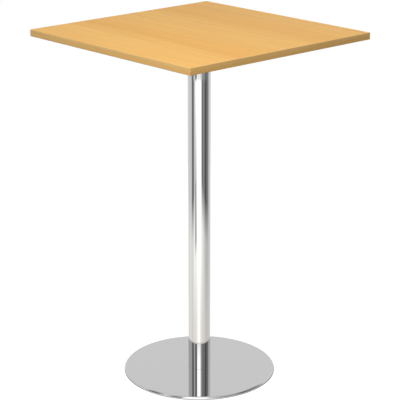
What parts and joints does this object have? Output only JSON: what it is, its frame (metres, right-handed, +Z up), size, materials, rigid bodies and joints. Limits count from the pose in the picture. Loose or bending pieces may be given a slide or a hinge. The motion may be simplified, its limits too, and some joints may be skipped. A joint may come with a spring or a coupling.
{
  "type": "standing conference table",
  "caption": "Square beech-decor table top at standing height on a chromed column with a round, flat chromed foot plate and a pressed steel carrier under the top.",
  "frame": {"origin": "on the floor, under the middle of the table", "axes": "+Z up along the column, X along the grain of the top, -Y the front"},
  "size_m": [0.75, 0.75, 1.145],
  "materials": {
    "beech_decor_board": "beech decor in satin melamine on chipboard, grain along X",
    "beech_decor_edging": "beech decor printed on thick ABS edging, rounded arrises",
    "chromed_steel": "polished and chrome plated",
    "black_powder_coat": "fine-textured black powder coat on pressed and welded steel",
    "zinc_plated_steel": "bright zinc plated screws and washers",
    "turned_steel": "turned mild steel, bare",
    "turned_brass": "turned brass",
    "grey_nylon": "moulded nylon glide, self-adhesive"
  },
  "bodies": {
    "root": {"table_top_board": "beech_decor_board", "edge_band_front": "beech_decor_edging", "edge_band_right": "beech_decor_edging", "edge_band_back": "beech_decor_edging", "edge_band_left": "beech_decor_edging", "column_tube": "chromed_steel", "foot_plate": "chromed_steel", "carrier_hub_plate": "black_powder_coat", "carrier_arm_back_right": "black_powder_coat", "carrier_arm_back_left": "black_powder_coat", "carrier_arm_front_left": "black_powder_coat", "carrier_arm_front_right": "black_powder_coat", "arm_screws": "zinc_plated_steel", "arm_washers": "zinc_plated_steel", "head_screws": "zinc_plated_steel", "foot_screws": "zinc_plated_steel", "column_head_disc": "turned_steel", "column_foot_disc": "turned_steel", "insert_nuts": "turned_brass", "glide_pad_1": "grey_nylon", "glide_pad_2": "grey_nylon", "glide_pad_3": "grey_nylon", "glide_pad_4": "grey_nylon", "glide_pad_5": "grey_nylon", "glide_pad_6": "grey_nylon"}
  },
  "joints": []
}
